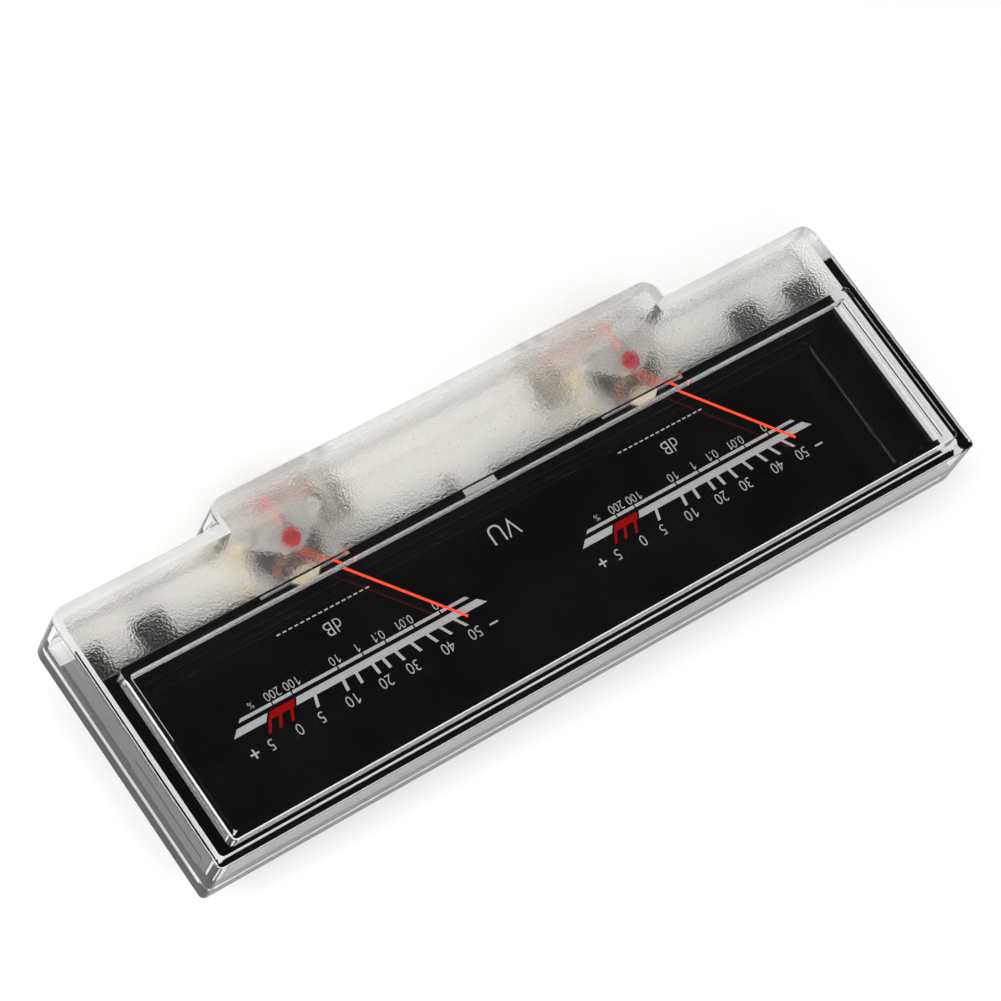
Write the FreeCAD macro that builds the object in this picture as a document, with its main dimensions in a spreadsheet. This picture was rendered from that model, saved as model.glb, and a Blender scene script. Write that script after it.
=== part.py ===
import FreeCAD, Part
import os
import Sketcher

# Dual-pointer moving-coil level meter in one clear case.
# X is the reading direction, Y points up the dial, Z comes out of the dial. Millimetres and degrees.
# The origin is the middle of the outline, on the back face of the case.

SIZES = (
    ("case_length", 134.0, "case along X"),
    ("case_width", 41.15, "case along Y, without the tab"),
    ("case_height", 10.3, "back face to the top of the flange"),
    ("rear_height", 3.1, "back face to the parting line"),
    ("parting_gap", 0.05, "joint between the two covers"),
    ("corner_radius", 2.3, "rear vertical corners of the case"),
    ("front_corner_radius", 0.8, "front vertical corners of the case"),
    ("wall", 1.55, "side walls of both covers"),
    ("flange", 1.5, "thickness of the flange around the window"),
    ("floor", 1.0, "thickness of the back"),
    ("edge_round", 0.25, "rounding of the outer top edges"),
    ("tab_length", 78.4, "terminal tab along X"),
    ("tab_depth", 3.48, "terminal tab beyond the case"),
    ("tab_radius", 2.5, "vertical corners of the tab"),
    ("tab_wall", 1.3, "walls of the tab"),
    ("tab_pocket_radius", 0.8, "corners of the pocket in the tab"),
    ("window_length", 128.2, "raised window along X"),
    ("window_width", 27.4, "raised window along Y"),
    ("window_rise", 2.3, "window above the flange"),
    ("window_margin", 1.88, "front face of the case to the window"),
    ("window_wall", 1.25, "side walls of the window"),
    ("window_top", 1.25, "top of the window"),
    ("window_radius", 0.8, "vertical corners of the window"),
    ("window_inner_radius", 0.4, "inner vertical corners of the window"),
    ("recess_length", 15.6, "recess in the +X wall along Y"),
    ("recess_setback", 1.9, "inner front wall to the recess"),
    ("recess_depth", 0.3, "recess in the +X wall"),
    ("recess_height", 3.2, "recess above the parting line"),
    ("fit_gap", 0.1, "clearance round loose pieces"),
    ("screw_gap", 0.03, "clearance round screw shanks"),
    ("dial_top", 3.0, "back face to the printed face"),
    ("dial_thickness", 0.4, "dial plate"),
    ("dial_gap", 0.2, "dial plate to the movement frames"),
    ("dial_ledge", 0.95, "dial plate on the side rims of the rear cover"),
    ("dial_front_ledge", 0.5, "dial plate on the front rim of the rear cover"),
    ("dial_setback", 3.6, "pointer axis to the rear edge of the dial plate"),
    ("dial_corner", 0.6, "front corners of the dial plate"),
    ("ear_width", 5.95, "dial ears along X"),
    ("ear_depth", 3.85, "dial ears along Y"),
    ("lug_spacing", 105.4, "between the dial screws"),
    ("lug_width", 5.0, "dial lugs along X"),
    ("lug_depth", 4.3, "dial lugs along Y"),
    ("lug_screw_setback", 2.1, "rear edge of the dial to the screw"),
    ("notch_width", 5.7, "middle notch of the dial"),
    ("notch_depth", 2.0, "middle notch of the dial"),
    ("locator_depth", 4.2, "locating block in the notch"),
    ("dial_boss_radius", 2.2, "boss under the dial screw"),
    ("dial_screw_radius", 0.6, "shank of the dial screw"),
    ("dial_screw_length", 1.6, "shank of the dial screw"),
    ("dial_head_radius", 1.5, "head of the dial screw"),
    ("dial_head_height", 0.6, "head of the dial screw"),
    ("pillar_radius", 1.5, "pillars under the dial"),
    ("pillar_spacing", 38.0, "between the pillars along X"),
    ("pillar_setback", 3.9, "front edge of the dial to the pillars"),
    ("slot_width", 0.3, "driver slots"),
    ("slot_depth", 0.25, "driver slots"),
    ("pivot_spacing", 60.0, "between the two pointer axes"),
    ("pivot_setback", 3.95, "inner rear wall to the pointer axis"),
    ("frame_width", 14.8, "movement frame along X"),
    ("frame_front", 4.7, "axis to the front of the frame"),
    ("frame_rear", 3.9, "axis to the back of the frame"),
    ("frame_plate", 0.6, "lower bearing plate"),
    ("nose_width", 4.7, "nose of the frame at its root"),
    ("nose_tip_width", 2.5, "nose of the frame at its tip"),
    ("nose_length", 0.9, "nose of the frame"),
    ("nose_height", 2.9, "nose above the back plate"),
    ("post_x", 5.75, "axis to the bridge posts along X"),
    ("post_y", 2.9, "axis to the bridge posts along Y"),
    ("post_radius", 0.8, "bridge posts"),
    ("post_height", 4.85, "bridge posts above the floor"),
    ("core_pillar_width", 3.0, "pillars that hold the core"),
    ("yoke_width", 13.2, "yoke along X"),
    ("yoke_front_bar", 0.6, "bar that joins the two poles"),
    ("yoke_rear", 2.0, "axis to the rear ends of the poles"),
    ("yoke_height", 2.4, "yoke above the frame plate"),
    ("air_gap", 0.25, "coil to the poles and to the core"),
    ("core_radius", 4.2, "magnet core"),
    ("core_flat", 3.45, "axis to the flats of the core"),
    ("core_height", 1.6, "magnet core"),
    ("core_lift", 2.55, "back face to the bottom of the core"),
    ("core_gap", 0.1, "core to the coil former, above and below"),
    ("former_thickness", 0.15, "coil former"),
    ("former_width", 1.1, "coil former along the pointer"),
    ("winding_thickness", 0.35, "copper winding on the sides"),
    ("winding_layer", 0.25, "copper winding above and below"),
    ("winding_width", 0.8, "copper winding along the pointer"),
    ("winding_round", 0.4, "outer corners of the winding"),
    ("former_round", 0.15, "outer corners of the former"),
    ("cross_thickness", 0.2, "balance cross"),
    ("cross_radius", 0.8, "disc of the balance cross"),
    ("cross_arm_width", 0.5, "arms of the balance cross"),
    ("side_arm", 3.3, "side arms of the balance cross"),
    ("rear_arm", 3.5, "rear arm of the balance cross"),
    ("side_weight_radius", 0.35, "weights on the side arms"),
    ("rear_weight_radius", 0.45, "weight on the rear arm"),
    ("weight_height", 0.3, "balance weights"),
    ("pointer_hub_radius", 0.9, "ring of the pointer"),
    ("pointer_thickness", 0.2, "pointer blade"),
    ("pointer_width", 0.3, "pointer blade"),
    ("pointer_length", 26.4, "axis to the tip"),
    ("pointer_lift", 4.3, "back face to the underside of the blade"),
    ("crank_start", 1.3, "axis to the start of the crank"),
    ("crank_end", 2.4, "axis to the end of the crank"),
    ("rest_angle", 38.7, "pointer at rest, from +Y towards -X"),
    ("swing", 82.0, "pointer travel between its stops"),
    ("collet_radius", 0.45, "hairspring collets"),
    ("collet_height", 0.35, "hairspring collets"),
    ("pivot_radius", 0.28, "pivot shank in the cross"),
    ("pivot_gap", 0.02, "clearance round the pivot shank"),
    ("tip_radius", 0.14, "pivot pin"),
    ("point_radius", 0.03, "pivot point"),
    ("tip_length", 0.35, "pivot pin"),
    ("jewel_radius", 0.4, "jewel cup"),
    ("jewel_height", 0.4, "jewel cup"),
    ("jewel_mouth", 0.25, "mouth of the jewel cup"),
    ("jewel_seat", 0.05, "bottom of the jewel cup"),
    ("jewel_depth", 0.3, "depth of the jewel cup"),
    ("jewel_reach", 0.25, "pivot point inside the jewel cup"),
    ("jewel_screw_radius", 0.7, "jewel screws"),
    ("jewel_head_radius", 1.3, "lacquered head of the upper jewel screw"),
    ("upper_screw_length", 1.8, "upper jewel screw"),
    ("lower_screw_length", 1.1, "lower jewel screw"),
    ("access_radius", 1.0, "hole in the back under the jewel screw"),
    ("spring_height", 0.15, "hairspring ribbon along Z"),
    ("spring_ribbon", 0.07, "hairspring ribbon thickness"),
    ("spring_gap", 0.03, "collet to the inner turn"),
    ("spring_outer", 2.0, "outer turn of the hairspring"),
    ("spring_half_turns", 11, "half turns of the hairspring"),
    ("lever_radius", 1.5, "ring of the zero lever"),
    ("lever_gap", 0.05, "zero lever to the jewel screw and bridge"),
    ("lever_thickness", 0.2, "zero lever"),
    ("lever_tail", 3.6, "axis to the end of the tail"),
    ("lever_width", 0.8, "tail of the zero lever"),
    ("lever_fork", 0.3, "slot in the tail"),
    ("lever_fork_depth", 0.8, "slot in the tail"),
    ("stud_radius", 0.15, "hairspring studs"),
    ("bridge_thickness", 0.55, "upper bridge"),
    ("bridge_nose", 1.5, "axis to the front of the bridge"),
    ("bridge_nose_width", 3.0, "front of the bridge"),
    ("bridge_edge", 0.85, "bridge beyond the post axes"),
    ("small_screw_radius", 0.4, "bridge and frame screws"),
    ("frame_head_radius", 0.75, "head of the frame screws"),
    ("bridge_head_radius", 1.0, "head of the bridge screws"),
    ("small_head_height", 0.4, "bridge and frame screws"),
    ("small_screw_length", 1.4, "bridge and frame screws in the post"),
    ("frame_head_sink", 0.1, "back face to the frame screw heads"),
    ("stop_radius", 0.25, "stop pins"),
    ("stop_reach", 6.0, "axis to the stop pins"),
    ("stop_height", 0.95, "stop pins above the yoke"),
    ("stop_gap", 0.05, "pointer to the stop pin at its limit"),
    ("terminal_offset", 9.0, "pointer axis to the nearer terminal"),
    ("terminal_pitch", 3.0, "between the two terminals of one movement"),
    ("terminal_width", 1.6, "terminal strips"),
    ("terminal_thickness", 0.3, "terminal strips"),
    ("terminal_reach", 1.7, "inner rear wall to the end of the strip"),
    ("terminal_hole", 0.35, "hole in the solder lug"),
    ("lead_radius", 0.3, "insulated lead wire"),
    ("lead_start", 2.2, "pointer axis to the end of the lead wire on the bridge"),
    ("lead_lift", 0.4, "solder lugs to the lead wire that runs across"),
)

# Levels and edges that several pieces share, worked out from the sizes above.
FRONT = "((dim.case_width + dim.tab_depth) / 2)"
REAR = f"({FRONT} - dim.case_width)"
HALF = "(dim.case_length / 2)"
INNER_HALF = f"({HALF} - dim.wall)"
INNER_FRONT = f"({FRONT} - dim.wall)"
INNER_REAR = f"({REAR} + dim.wall)"
CEILING = "(dim.case_height - dim.flange)"
PARTING = "(dim.rear_height + dim.parting_gap)"
TAB_INNER_HALF = "(dim.tab_length / 2 - dim.tab_wall)"
TAB_INNER_REAR = f"(-{FRONT} + dim.tab_wall)"
WINDOW_FRONT = f"({FRONT} - dim.window_margin)"
WINDOW_REAR = f"({WINDOW_FRONT} - dim.window_width)"
WINDOW_CEILING = "(dim.case_height + dim.window_rise - dim.window_top)"
RECESS_FRONT = f"({INNER_FRONT} - dim.recess_setback)"
DIAL_HALF = f"({INNER_HALF} + dim.dial_ledge)"
DIAL_FRONT = f"({INNER_FRONT} + dim.dial_front_ledge)"
DIAL_BOTTOM = "(dim.dial_top - dim.dial_thickness)"
PILLAR_Y = f"({DIAL_FRONT} - dim.pillar_setback)"
PIVOT_Y = f"({INNER_REAR} + dim.pivot_setback)"
DIAL_REAR = f"({PIVOT_Y} + dim.dial_setback)"
EAR_REAR = f"({DIAL_REAR} - dim.ear_depth)"
DIAL_SCREW_Y = f"({DIAL_REAR} - dim.lug_screw_setback)"
PLATE_TOP = "(dim.floor + dim.frame_plate)"
POST_TOP = "(dim.floor + dim.post_height)"
YOKE_TOP = f"({PLATE_TOP} + dim.yoke_height)"
YOKE_FRONT = "(dim.frame_front - dim.screw_gap)"
YOKE_BAR = f"({YOKE_FRONT} - dim.yoke_front_bar)"
CORE_TOP = "(dim.core_lift + dim.core_height)"
FORMER_INNER = "(dim.core_radius + dim.air_gap)"
FORMER_OUTER = f"({FORMER_INNER} + dim.former_thickness)"
WINDING_OUTER = f"({FORMER_OUTER} + dim.winding_thickness)"
FORMER_CEILING = f"({CORE_TOP} + dim.core_gap)"
FORMER_FLOOR = "(dim.core_lift - dim.core_gap)"
FORMER_TOP = f"({FORMER_CEILING} + dim.former_thickness)"
FORMER_BOTTOM = f"({FORMER_FLOOR} - dim.former_thickness)"
WINDING_TOP = f"({FORMER_TOP} + dim.winding_layer)"
WINDING_BOTTOM = f"({FORMER_BOTTOM} - dim.winding_layer)"
POLE_RADIUS = f"({WINDING_OUTER} + dim.air_gap)"
CROSS_TOP = f"({WINDING_TOP} + dim.cross_thickness)"
HUB_TOP = f"({CROSS_TOP} + dim.pointer_thickness)"
UPPER_COLLET_TOP = f"({HUB_TOP} + dim.collet_height)"
LOWER_COLLET_BOTTOM = f"({WINDING_BOTTOM} - dim.collet_height)"
UPPER_POINT = f"({UPPER_COLLET_TOP} + dim.tip_length)"
LOWER_POINT = f"({LOWER_COLLET_BOTTOM} - dim.tip_length)"
UPPER_SCREW_BOTTOM = f"({UPPER_POINT} - dim.jewel_reach)"
LOWER_SCREW_TOP = f"({LOWER_POINT} + dim.jewel_reach)"
LEVER_TOP = f"({POST_TOP} - dim.lever_gap)"
LEVER_BOTTOM = f"({LEVER_TOP} - dim.lever_thickness)"
BRIDGE_TOP = f"({POST_TOP} + dim.bridge_thickness)"
UPPER_SPRING = f"({HUB_TOP} + (dim.collet_height - dim.spring_height) / 2)"
LOWER_SPRING = f"({LOWER_COLLET_BOTTOM} + (dim.collet_height - dim.spring_height) / 2)"
STUD_Y = "(dim.spring_outer + dim.stud_radius)"
LUG_END = f"({TAB_INNER_REAR} + dim.fit_gap)"
LUG_HOLE_Y = f"({LUG_END} + dim.terminal_width / 2)"

MODEL = FreeCAD.newDocument("level_meter")
NODES = []


def make_sheet():
    sheet = MODEL.addObject("Spreadsheet::Sheet", "dim")
    for row, (alias, size, note) in enumerate(SIZES, start=1):
        sheet.set(f"A{row}", note)
        sheet.set(f"B{row}", str(size))
        sheet.setAlias(f"B{row}", alias)
    MODEL.recompute()
    return sheet


SHEET = make_sheet()


def number(expression):
    return float(SHEET.evalExpression(expression))


def place(solid, x="0", y="0", z="0"):
    solid.setExpression("Placement.Base.x", x)
    solid.setExpression("Placement.Base.y", y)
    solid.setExpression("Placement.Base.z", z)


def pivot_x(side):
    return {"left": "(-dim.pivot_spacing / 2)", "right": "(dim.pivot_spacing / 2)"}[side]


def place_at_pivot(solid, side):
    place(solid, pivot_x(side), PIVOT_Y)


def turn_to_rest(solid):
    solid.setExpression("Placement.Rotation.Angle", "dim.rest_angle")


def box(name, x_low, x_high, y_low, y_high, z_low, z_high):
    solid = MODEL.addObject("Part::Box", name)
    solid.setExpression("Length", f"({x_high}) - ({x_low})")
    solid.setExpression("Width", f"({y_high}) - ({y_low})")
    solid.setExpression("Height", f"({z_high}) - ({z_low})")
    place(solid, x_low, y_low, z_low)
    return solid


def cylinder(name, radius, z_low, z_high, x="0", y="0"):
    solid = MODEL.addObject("Part::Cylinder", name)
    solid.setExpression("Radius", radius)
    solid.setExpression("Height", f"({z_high}) - ({z_low})")
    place(solid, x, y, z_low)
    return solid


def cone(name, radius_low, radius_high, z_low, z_high, x="0", y="0"):
    solid = MODEL.addObject("Part::Cone", name)
    solid.setExpression("Radius1", radius_low)
    solid.setExpression("Radius2", radius_high)
    solid.setExpression("Height", f"({z_high}) - ({z_low})")
    place(solid, x, y, z_low)
    return solid


def cut(name, base, *tools):
    for index, tool in enumerate(tools, start=1):
        result = MODEL.addObject("Part::Cut", name if index == len(tools) else f"{name}_cut{index}")
        result.Base = base
        result.Tool = tool
        base = result
    return base


def fuse(name, *solids):
    result = MODEL.addObject("Part::MultiFuse", name)
    result.Shapes = list(solids)
    result.Refine = True
    return result


def common(name, first, second):
    result = MODEL.addObject("Part::Common", name)
    result.Base = first
    result.Tool = second
    return result


def group(name, *solids):
    result = MODEL.addObject("Part::Compound", name)
    result.Links = list(solids)
    return result


def keep(name, solid):
    solid.Label = name
    NODES.append(solid)
    return solid


def new_body(name):
    return MODEL.addObject("PartDesign::Body", name)


def add_sketch(body, name, offset, role="XY_Plane"):
    sketch = body.newObject("Sketcher::SketchObject", name)
    plane = next(item for item in body.Origin.OriginFeatures if item.Role == role)
    sketch.AttachmentSupport = [(plane, "")]
    sketch.MapMode = "FlatFace"
    sketch.setExpression("AttachmentOffset.Base.z", offset)
    return sketch


def bind(sketch, constraint, expression):
    index = sketch.addConstraint(constraint)
    sketch.renameConstraint(index, f"size{index}")
    sketch.setExpression(f"Constraints.size{index}", expression)


def pin_point(sketch, line, end, x, y):
    bind(sketch, Sketcher.Constraint("DistanceX", -1, 1, line, end, number(x)), x)
    bind(sketch, Sketcher.Constraint("DistanceY", -1, 1, line, end, number(y)), y)


def draw_polygon(sketch, *corners):
    first = sketch.GeometryCount
    points = [FreeCAD.Vector(number(x), number(y), 0) for x, y in corners]
    for start, end in zip(points, points[1:] + points[:1]):
        sketch.addGeometry(Part.LineSegment(start, end), False)
    for index in range(len(corners)):
        following = first + (index + 1) % len(corners)
        sketch.addConstraint(Sketcher.Constraint("Coincident", first + index, 2, following, 1))
    for index, (x, y) in enumerate(corners):
        pin_point(sketch, first + index, 1, x, y)


def draw_rectangle(sketch, x_low, x_high, y_low, y_high):
    draw_polygon(sketch, (x_low, y_low), (x_high, y_low), (x_high, y_high), (x_low, y_high))


def draw_circle(sketch, x, y, radius):
    centre = FreeCAD.Vector(number(x), number(y), 0)
    circle = Part.Circle(centre, FreeCAD.Vector(0, 0, 1), number(radius))
    index = sketch.addGeometry(circle, False)
    bind(sketch, Sketcher.Constraint("Radius", index, number(radius)), radius)
    pin_point(sketch, index, 3, x, y)


def draw_rounded(sketch, x_low, x_high, y_low, y_high, radius, front_radius=None):
    """Rectangle with rounded corners, whose two corners at y_high may have their own radius."""
    front_radius = front_radius or radius
    bottom, top = f"({y_low}) + ({radius})", f"({y_high}) - ({front_radius})"
    rear_span, front_span = [
        (f"({x_low}) + ({corner})", f"({x_high}) - ({corner})") for corner in (radius, front_radius)
    ]
    sides = (
        ((rear_span[0], y_low), (rear_span[1], y_low)),
        ((x_high, bottom), (x_high, top)),
        ((front_span[1], y_high), (front_span[0], y_high)),
        ((x_low, top), (x_low, bottom)),
    )
    corners = (
        (rear_span[1], bottom, radius),
        (front_span[1], top, front_radius),
        (front_span[0], top, front_radius),
        (rear_span[0], bottom, radius),
    )
    first = sketch.GeometryCount
    for start, end in sides:
        points = [FreeCAD.Vector(number(x), number(y), 0) for x, y in (start, end)]
        sketch.addGeometry(Part.LineSegment(*points), False)
    quarter = FreeCAD.Units.parseQuantity("90 deg").getValueAs("rad").Value
    for index, (x, y, corner) in enumerate(corners):
        centre = FreeCAD.Vector(number(x), number(y), 0)
        circle = Part.Circle(centre, FreeCAD.Vector(0, 0, 1), number(corner))
        arc = Part.ArcOfCircle(circle, (index - 1) * quarter, index * quarter)
        sketch.addGeometry(arc, False)
    for index, (start, end) in enumerate(sides):
        pin_point(sketch, first + index, 1, *start)
        pin_point(sketch, first + index, 2, *end)
    for index, (_, _, corner) in enumerate(corners):
        arc = first + len(sides) + index
        following = first + (index + 1) % len(sides)
        sketch.addConstraint(Sketcher.Constraint("Coincident", arc, 1, first + index, 2))
        sketch.addConstraint(Sketcher.Constraint("Coincident", arc, 2, following, 1))
        bind(sketch, Sketcher.Constraint("Radius", arc, number(corner)), corner)


def extrude(body, kind, name, offset, length, outlines, role="XY_Plane"):
    MODEL.recompute()
    sketch = add_sketch(body, f"{name}_sketch", offset, role)
    for draw, *arguments in outlines:
        draw(sketch, *arguments)
    volume_before = 0 if body.Shape.isNull() else body.Shape.Volume
    feature = body.newObject(f"PartDesign::{kind}", name)
    feature.Profile = sketch
    feature.setExpression("Length", length)
    sketch.Visibility = False
    MODEL.recompute()
    change = body.Shape.Volume - volume_before
    if change * (1 if kind == "Pad" else -1) <= 0:
        raise ValueError(f"{name} does not change its body: {feature.getStatusString()}")
    return feature


def pad(body, name, z_low, z_high, *outlines):
    return extrude(body, "Pad", name, z_low, f"({z_high}) - ({z_low})", outlines)


def pocket(body, name, z_low, z_high, *outlines):
    return extrude(body, "Pocket", name, z_high, f"({z_high}) - ({z_low})", outlines)


def mirrored(outline, x, *rest):
    return (outline, x, *rest), (outline, f"-({x})", *rest)


# ---------------------------------------------------------------- case

CASE_OUTLINE = (draw_rounded, f"-{HALF}", HALF, REAR, FRONT, "dim.corner_radius", "dim.front_corner_radius")
TAB_OUTLINE = (
    draw_rounded,
    "-dim.tab_length / 2",
    "dim.tab_length / 2",
    f"-{FRONT}",
    f"{REAR} + dim.tab_radius",
    "dim.tab_radius",
)
CAVITY_OUTLINE = (
    draw_rounded,
    f"-{INNER_HALF}",
    INNER_HALF,
    INNER_REAR,
    INNER_FRONT,
    "dim.corner_radius - dim.wall",
)


def tab_pocket_outline(front):
    return draw_rounded, f"-{TAB_INNER_HALF}", TAB_INNER_HALF, TAB_INNER_REAR, front, "dim.tab_pocket_radius"


def window_outline(inset, radius):
    edge = f"(dim.window_length / 2 - {inset})"
    return draw_rounded, f"-{edge}", edge, f"{WINDOW_REAR} + {inset}", f"{WINDOW_FRONT} - {inset}", radius


def top_edges(shape, level, outside):
    names = []
    for index, edge in enumerate(shape.Edges, start=1):
        box_of_edge = edge.BoundBox
        level_edge = abs(box_of_edge.ZMin - level) < 1e-6 and abs(box_of_edge.ZMax - level) < 1e-6
        centre = box_of_edge.Center
        if level_edge and (abs(centre.x) > outside[0] or centre.y < outside[1] or centre.y > outside[2]):
            names.append(f"Edge{index}")
    return names


def make_front_cover():
    body = new_body("front_cover")
    pad(body, "front_block", PARTING, "dim.case_height", CASE_OUTLINE)
    pad(body, "front_tab", PARTING, "dim.case_height", TAB_OUTLINE)
    window_rise = "dim.case_height + dim.window_rise"
    pad(body, "window_block", "dim.case_height", window_rise, window_outline("0", "dim.window_radius"))
    flange_edges = (number("dim.window_length / 2"), number(WINDOW_REAR), number(WINDOW_FRONT))
    add_rounding(body, "flange_round", number("dim.case_height"), flange_edges)
    add_rounding(body, "window_round", number(window_rise), (-1, 0, 0))
    pocket(body, "front_cavity", PARTING, CEILING, CAVITY_OUTLINE)
    pocket(body, "front_tab_pocket", PARTING, CEILING, tab_pocket_outline(f"{INNER_REAR} + dim.tab_pocket_radius"))
    inner_window = window_outline("dim.window_wall", "dim.window_inner_radius")
    pocket(body, "window_cavity", CEILING, WINDOW_CEILING, inner_window)
    recess_side = f"{INNER_HALF} + dim.recess_depth"
    recess_rear = f"{RECESS_FRONT} - dim.recess_length"
    recess = (draw_rectangle, INNER_HALF, recess_side, recess_rear, RECESS_FRONT)
    pocket(body, "side_recess", PARTING, f"{PARTING} + dim.recess_height", recess)
    keep("front_cover", body)


def add_rounding(body, name, level, outside):
    base = body.Tip
    feature = body.newObject("PartDesign::Fillet", name)
    feature.Base = (base, top_edges(base.Shape, level, outside))
    feature.setExpression("Radius", "dim.edge_round")
    MODEL.recompute()


def make_rear_cover():
    body = new_body("rear_cover")
    pad(body, "rear_block", "0", "dim.rear_height", CASE_OUTLINE)
    pad(body, "rear_tab", "0", "dim.rear_height", TAB_OUTLINE)
    pocket(body, "rear_cavity", "dim.floor", "dim.rear_height", CAVITY_OUTLINE)
    pocket(body, "rear_tab_slot", "0", "dim.rear_height", tab_pocket_outline(REAR))
    pocket(body, "dial_ledge", DIAL_BOTTOM, "dim.rear_height", ledge_outline())
    dial_bosses = mirrored(draw_circle, "dim.lug_spacing / 2", DIAL_SCREW_Y, "dim.dial_boss_radius")
    pillars = [
        (draw_circle, f"{step} * dim.pillar_spacing / 2", PILLAR_Y, "dim.pillar_radius")
        for step in (-3, -1, 1, 3)
    ]
    pad(body, "dial_supports", "dim.floor", DIAL_BOTTOM, *dial_bosses, *pillars)
    locator_half = "(dim.notch_width / 2 - dim.fit_gap)"
    locator_front = f"{DIAL_REAR} + dim.notch_depth - dim.fit_gap"
    locator = (
        draw_rectangle, f"-{locator_half}", locator_half, f"{locator_front} - dim.locator_depth", locator_front
    )
    pad(body, "dial_locator", "dim.floor", "dim.dial_top", locator)
    pilots = mirrored(draw_circle, "dim.lug_spacing / 2", DIAL_SCREW_Y, "dim.dial_screw_radius + dim.screw_gap")
    pocket(body, "dial_pilots", "dim.floor", DIAL_BOTTOM, *pilots)
    add_movement_holes(body)
    add_terminal_slots(body)
    keep("rear_cover", body)


def ledge_outline():
    side = f"({DIAL_HALF} + dim.fit_gap)"
    front = f"({DIAL_FRONT} + dim.fit_gap)"
    right_half = [
        (side, f"{EAR_REAR} - dim.fit_gap"),
        (side, f"{front} - dim.dial_corner"),
        (f"{side} - dim.dial_corner", front),
    ]
    left_half = [(f"-({x})", y) for x, y in reversed(right_half)]
    return draw_polygon, *right_half, *left_half


def add_movement_holes(body):
    access, shanks, heads = [], [], []
    for side in ("left", "right"):
        access.append((draw_circle, pivot_x(side), PIVOT_Y, "dim.access_radius"))
        for sign in ("-", "+"):
            spot = (f"{pivot_x(side)} {sign} dim.post_x", f"{PIVOT_Y} - dim.post_y")
            shanks.append((draw_circle, *spot, "dim.small_screw_radius + dim.screw_gap"))
            heads.append((draw_circle, *spot, "dim.frame_head_radius + dim.screw_gap"))
    pocket(body, "jewel_access", "0", "dim.floor", *access)
    pocket(body, "frame_screw_holes", "0", "dim.floor", *shanks)
    head_top = "dim.frame_head_sink + dim.small_head_height"
    pocket(body, "frame_head_seats", "0", head_top, *heads)


def terminal_middles(side):
    inwards = {"left": "+", "right": "-"}[side]
    return [
        f"({pivot_x(side)} {inwards} (dim.terminal_offset + {step} * dim.terminal_pitch))" for step in (0, 1)
    ]


def add_terminal_slots(body):
    slots = []
    half = "(dim.terminal_width / 2 + dim.screw_gap)"
    for side in ("left", "right"):
        for middle in terminal_middles(side):
            reach = (f"{REAR} - dim.fit_gap", f"{INNER_REAR} + dim.fit_gap")
            slots.append((draw_rectangle, f"{middle} - {half}", f"{middle} + {half}", *reach))
    slot_top = "dim.floor + dim.terminal_thickness + dim.screw_gap"
    pocket(body, "terminal_slots", "dim.floor", slot_top, *slots)


def slotted_screw(name, shank, length, head, head_height, seat, direction, x="0", y="0"):
    """Screw whose head rests at the level seat and whose shank runs up (+) or down (-) from it."""
    away = "-" if direction == "+" else "+"
    tip = f"{seat} {direction} {length}"
    crown = f"{seat} {away} {head_height}"
    slot_end = f"{crown} {direction} dim.slot_depth"
    spans = [(seat, tip), (crown, seat), (crown, slot_end)]
    if direction == "-":
        spans = [(high, low) for low, high in spans]
    shaft = cylinder(f"{name}_shank", shank, *spans[0], x, y)
    cap = cylinder(f"{name}_head", head, *spans[1], x, y)
    slot = box(
        f"{name}_slot",
        f"{x} - {head}",
        f"{x} + {head}",
        f"{y} - dim.slot_width / 2",
        f"{y} + dim.slot_width / 2",
        *spans[2],
    )
    return cut(name, fuse(f"{name}_blank", shaft, cap), slot)


# ---------------------------------------------------------------- dial

def dial_rear_edge():
    """Corners of the rear edge for the +X half, from the middle notch outwards."""
    axis = "(dim.pivot_spacing / 2)"
    side = "(dim.frame_width / 2 + dim.dial_gap)"
    mouth = f"({PIVOT_Y} + dim.frame_front + dim.dial_gap)"
    root = "(dim.nose_width / 2 + dim.dial_gap)"
    tip = "(dim.nose_tip_width / 2 + dim.dial_gap)"
    tip_y = f"({mouth} + dim.nose_length)"
    lug_low = "(dim.lug_spacing / 2 - dim.lug_width / 2)"
    lug_high = f"({lug_low} + dim.lug_width)"
    lug_rear = f"({DIAL_REAR} - dim.lug_depth)"
    ear_low = f"({DIAL_HALF} - dim.ear_width)"
    return [
        ("dim.notch_width / 2", f"{DIAL_REAR} + dim.notch_depth"),
        ("dim.notch_width / 2", DIAL_REAR),
        (f"{axis} - {side}", DIAL_REAR),
        (f"{axis} - {side}", mouth),
        (f"{axis} - {root}", mouth),
        (f"{axis} - {tip}", tip_y),
        (f"{axis} + {tip}", tip_y),
        (f"{axis} + {root}", mouth),
        (f"{axis} + {side}", mouth),
        (f"{axis} + {side}", DIAL_REAR),
        (lug_low, DIAL_REAR),
        (lug_low, lug_rear),
        (lug_high, lug_rear),
        (lug_high, DIAL_REAR),
        (ear_low, DIAL_REAR),
        (ear_low, EAR_REAR),
        (DIAL_HALF, EAR_REAR),
        (DIAL_HALF, f"{DIAL_FRONT} - dim.dial_corner"),
        (f"{DIAL_HALF} - dim.dial_corner", DIAL_FRONT),
    ]


def make_dial_plate():
    body = new_body("dial_plate")
    right_half = dial_rear_edge()
    left_half = [(f"-({x})", y) for x, y in reversed(right_half)]
    pad(body, "dial_sheet", DIAL_BOTTOM, "dim.dial_top", (draw_polygon, *right_half, *left_half))
    holes = mirrored(draw_circle, "dim.lug_spacing / 2", DIAL_SCREW_Y, "dim.dial_screw_radius + dim.screw_gap")
    pocket(body, "dial_holes", DIAL_BOTTOM, "dim.dial_top", *holes)
    keep("dial_plate", body)


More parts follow.
